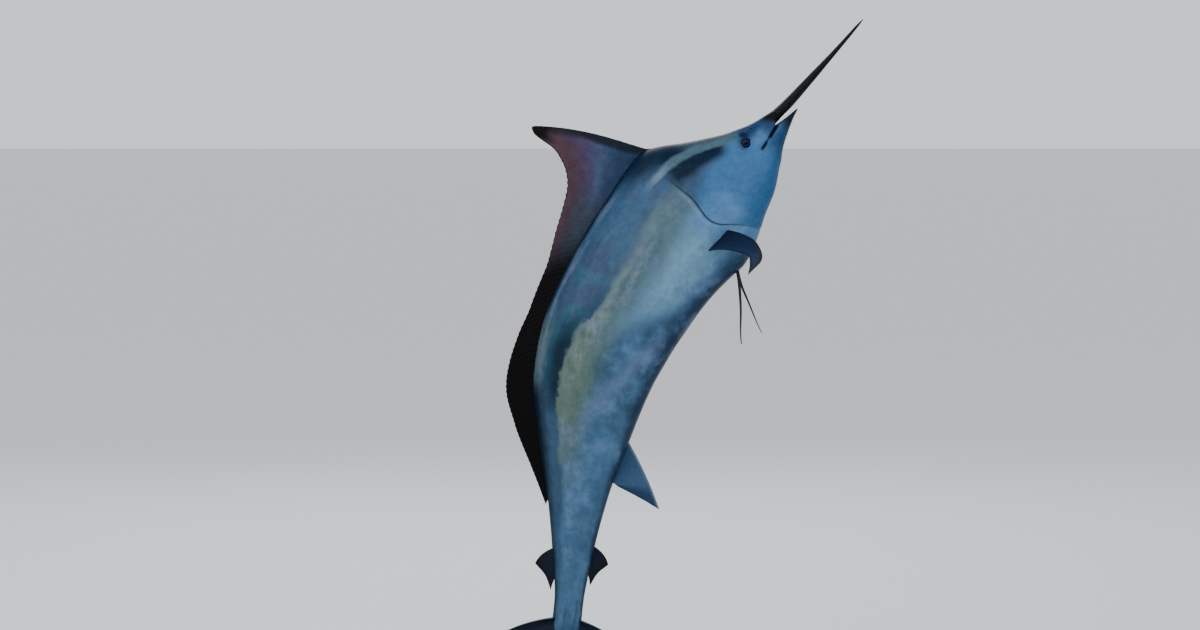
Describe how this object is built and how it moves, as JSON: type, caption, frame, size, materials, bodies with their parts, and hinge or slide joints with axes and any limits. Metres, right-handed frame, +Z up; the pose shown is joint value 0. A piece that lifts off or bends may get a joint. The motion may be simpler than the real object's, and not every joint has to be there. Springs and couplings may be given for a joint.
{
  "type": "blue marlin model",
  "caption": "Life-size still model of a leaping blue marlin, head up and mouth just open, on two rods over a flat base.",
  "frame": {"origin": "centre of the underside of the stand's base", "axes": "+Z up, +X the way that the belly faces and the bill leans, +Y to the fish's left"},
  "size_m": [2.1133, 1.4412, 3.607],
  "materials": {
    "skin": "wet gloss paint, slate-blue back and blue flank with an olive band",
    "bill": "near-black, satin",
    "fin": "blue-black with a purple-brown sheen, satin",
    "anal_fin": "blue, satin",
    "eye": "dark gloss with a blue-grey ring",
    "base": "dark stain, satin lacquer",
    "rod": "brushed"
  },
  "bodies": {
    "root": {"head": "skin", "lower_jaw": "skin", "torso": "skin", "tail_stock": "skin", "dorsal_fin_lobe": "fin", "dorsal_fin_ribbon": "fin", "second_dorsal_fin": "fin", "second_anal_fin": "fin", "pectoral_fin_right": "fin", "pectoral_fin_left": "fin", "pelvic_fin_right": "fin", "pelvic_fin_left": "fin", "caudal_fin_upper": "fin", "caudal_fin_lower": "fin", "anal_fin": "anal_fin", "bill": "bill", "eye_right": "eye", "eye_left": "eye", "stand_base": "base", "stand_rod_tail": "rod", "stand_rod_flank": "rod"}
  },
  "joints": []
}
